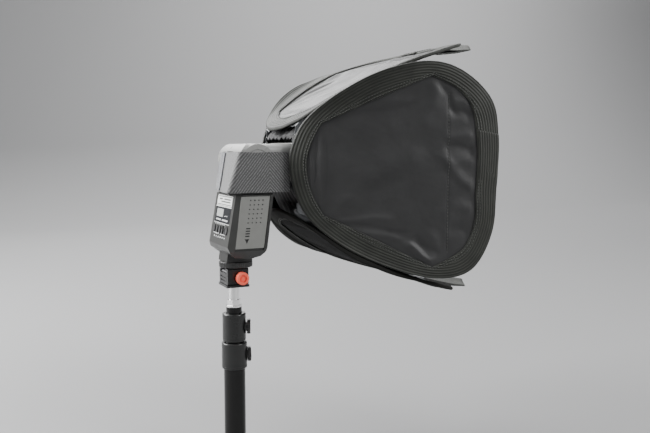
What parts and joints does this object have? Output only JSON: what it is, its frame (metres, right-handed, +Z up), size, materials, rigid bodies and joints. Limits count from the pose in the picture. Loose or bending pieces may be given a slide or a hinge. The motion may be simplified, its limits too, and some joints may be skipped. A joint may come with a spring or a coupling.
{
  "type": "shoe-mount flash with fabric softbox",
  "caption": "Battery flash with swivel and tilt head in a strapped fold-flat fabric softbox, held by a clamping cold shoe on a telescopic stand riser.",
  "frame": {"origin": "foot of the stand column, on its axis", "axes": "+Z up the column, +X the way the light points at rest, +Y across, away from the battery door"},
  "size_m": [0.2981, 0.262, 0.4331],
  "materials": {
    "tube_black": "satin black anodised",
    "collar_black": "satin moulded",
    "knob_black": "matte",
    "stud_bright": "polished",
    "shoe_black": "black anodised",
    "knob_red": "gloss",
    "body_black": "fine grain",
    "window_red": "translucent dark red",
    "display": "gloss",
    "plate": "printed",
    "lamp": "gloss",
    "key_grey": "matte",
    "cell": "satin",
    "contact": "bright",
    "board": "satin",
    "capacitor": "sleeved",
    "foot_metal": "satin",
    "axle_steel": "satin",
    "lens_clear": "ribbed clear",
    "reflector": "bright",
    "white_plastic": "satin",
    "webbing": "ribbed",
    "cloth": "satin nylon",
    "hoop_steel": "spring steel",
    "white_cloth": "translucent",
    "lining": "silver coated",
    "elastic": "woven elastic"
  },
  "bodies": {
    "stand_column": {"column_tube": "tube_black", "column_plug": "knob_black", "lower_collar": "collar_black"},
    "lower_knob": {"lower_collar_knob": "knob_black"},
    "middle_section": {"mid_riser": "tube_black", "upper_collar": "collar_black"},
    "upper_knob": {"upper_collar_knob": "knob_black"},
    "top_section": {"top_riser": "tube_black", "stud": "stud_bright", "cold_shoe": "shoe_black"},
    "shoe_jaw": {"clamp_jaw": "shoe_black"},
    "shoe_knob": {"clamp_knob": "knob_red"},
    "flash_body": {"rear_shell": "body_black", "front_shell": "body_black", "assist_window": "window_red", "display_window": "display", "name_plate": "plate", "indicator_lamps": "lamp", "battery_cells": "cell", "cell_contacts": "contact", "circuit_board": "board", "capacitor": "capacitor", "foot_plate": "foot_metal", "contact_pins": "contact"},
    "foot_lock": {"lock_ring": "knob_black"},
    "key_mode": {"button_mode": "key_grey"},
    "key_minus": {"button_minus": "key_grey"},
    "key_plus": {"button_plus": "key_grey"},
    "key_power": {"power_switch": "key_grey"},
    "key_pilot": {"pilot_button": "key_grey"},
    "door_leaf": {"door_hinge_pin": "axle_steel"},
    "door": {"battery_door": "body_black", "door_contact_plate": "contact"},
    "swivel": {"swivel_saddle": "body_black", "tilt_axle": "axle_steel"},
    "head": {"head_top_shell": "body_black", "head_bottom_shell": "body_black", "hinge_caps": "body_black", "head_bezel": "body_black", "flash_lens": "lens_clear", "reflector": "reflector", "flash_tube": "lens_clear", "binding_top": "webbing", "binding_left": "webbing", "binding_bottom": "webbing", "binding_right": "webbing", "panel_top": "cloth", "panel_left": "cloth", "panel_bottom": "cloth", "panel_right": "cloth", "spring_hoops": "hoop_steel", "diffuser": "white_cloth", "diffuser_border": "white_cloth", "rear_sleeve": "lining", "pull_tabs": "webbing", "strap": "elastic", "strap_hook_end": "elastic"},
    "wide_angle_panel": {"wide_panel": "lens_clear"},
    "bounce_card": {"catchlight_card": "white_plastic"}
  },
  "joints": [
    {"name": "middle_riser_slide", "type": "slide", "parent": "stand_column", "child": "middle_section", "axis": [0, 0, 1], "range_m": [0, 0.05]},
    {"name": "top_riser_slide", "type": "slide", "parent": "middle_section", "child": "top_section", "axis": [0, 0, 1], "range_m": [-0.004, 0.06]},
    {"name": "lower_knob_turn", "type": "hinge", "parent": "stand_column", "child": "lower_knob", "pos_m": [0, 0, 0.1026], "axis": [0.9703, -0.2419, 0], "range_deg": [0, 270]},
    {"name": "upper_knob_turn", "type": "hinge", "parent": "middle_section", "child": "upper_knob", "pos_m": [0, 0, 0.1319], "axis": [0.9272, -0.3746, 0], "range_deg": [0, 270]},
    {"name": "jaw_slide", "type": "slide", "parent": "top_section", "child": "shoe_jaw", "axis": [0, -1, 0], "range_m": [0, 0.0008]},
    {"name": "shoe_knob_turn", "type": "hinge", "parent": "shoe_jaw", "child": "shoe_knob", "pos_m": [0.003, -0.015, 0.1846], "axis": [0, -1, 0], "range_deg": [0, 360]},
    {"name": "foot_slide", "type": "slide", "parent": "top_section", "child": "flash_body", "axis": [1, 0, 0], "range_m": [0, 0.022]},
    {"name": "lock_ring_turn", "type": "hinge", "parent": "flash_body", "child": "foot_lock", "pos_m": [0.0025, 0, 0.1965], "axis": [0, 0, 1], "range_deg": [-180, 180]},
    {"name": "head_swivel", "type": "hinge", "parent": "flash_body", "child": "swivel", "pos_m": [0.01, 0, 0.269], "axis": [0, 0, 1], "range_deg": [-90, 180]},
    {"name": "head_tilt", "type": "hinge", "parent": "swivel", "child": "head", "pos_m": [0.015, 0, 0.302], "axis": [0, -1, 0], "range_deg": [0, 90], "deforming": ["strap"]},
    {"name": "door_slide", "type": "slide", "parent": "flash_body", "child": "door_leaf", "axis": [-0.1323, 0, -0.9912], "range_m": [0, 0.005]},
    {"name": "door_hinge", "type": "hinge", "parent": "door_leaf", "child": "door", "pos_m": [0.0231, -0.0329, 0.242], "axis": [0.1323, 0, 0.9912], "range_deg": [0, 95]},
    {"name": "mode_press", "type": "slide", "parent": "flash_body", "child": "key_mode", "axis": [0.9842, 0, -0.1771], "range_m": [0, 0.0008], "stiffness_N_per_m": 500},
    {"name": "minus_press", "type": "slide", "parent": "flash_body", "child": "key_minus", "axis": [0.9842, 0, -0.1771], "range_m": [0, 0.0008], "stiffness_N_per_m": 500},
    {"name": "plus_press", "type": "slide", "parent": "flash_body", "child": "key_plus", "axis": [0.9842, 0, -0.1771], "range_m": [0, 0.0008], "stiffness_N_per_m": 500},
    {"name": "pilot_press", "type": "slide", "parent": "flash_body", "child": "key_pilot", "axis": [0.9842, 0, -0.1771], "range_m": [0, 0.0008], "stiffness_N_per_m": 500},
    {"name": "power_slide", "type": "slide", "parent": "flash_body", "child": "key_power", "axis": [0.1771, 0, 0.9842], "range_m": [0, 0.0025]},
    {"name": "wide_panel_pull", "type": "slide", "parent": "head", "child": "wide_angle_panel", "axis": [1, 0, 0], "range_m": [0, 0.026]},
    {"name": "bounce_card_pull", "type": "slide", "parent": "head", "child": "bounce_card", "axis": [1, 0, 0], "range_m": [0, 0.026]}
  ],
  "couplings": [
    {"joint": "shoe_knob_turn", "follows": "jaw_slide", "rad_per_m": 7854}
  ]
}
